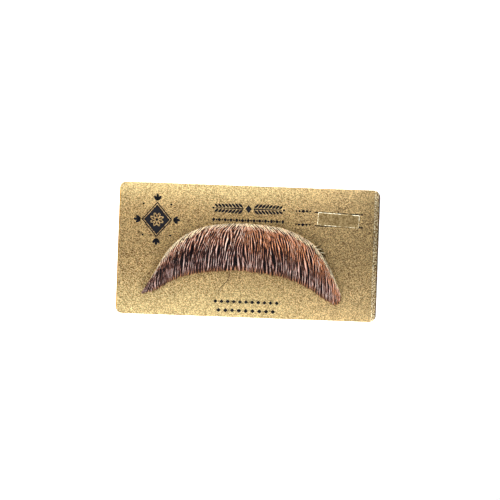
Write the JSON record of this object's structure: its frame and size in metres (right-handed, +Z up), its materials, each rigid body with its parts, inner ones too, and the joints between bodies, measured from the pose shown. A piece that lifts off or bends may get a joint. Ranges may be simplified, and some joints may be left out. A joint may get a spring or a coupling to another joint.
{
  "type": "false moustache on a display card",
  "caption": "Brown false moustache of real hair knotted into lace, held flat on a small gold display card with a colour label.",
  "frame": {"origin": "middle of the card's underside, the face it rests on", "axes": "+X along the card, to the right as the moustache is seen from the front; +Y towards the card's upper edge, where the hair's roots are; +Z up, out of the card's printed face"},
  "size_m": [0.14, 0.071, 0.0086],
  "materials": {
    "card": "thin board faced with satin gold foil, fine grain, pale cut edge, black print",
    "label": "thin gold paper label, matt, pale cut edge",
    "lace": "fine net, matt",
    "hair": "real hair, dark brown with coppery and pale root strands, silky"
  },
  "bodies": {
    "root": {"display_card": "card", "colour_label": "label", "lace_base": "lace", "hair": "hair"}
  },
  "joints": []
}
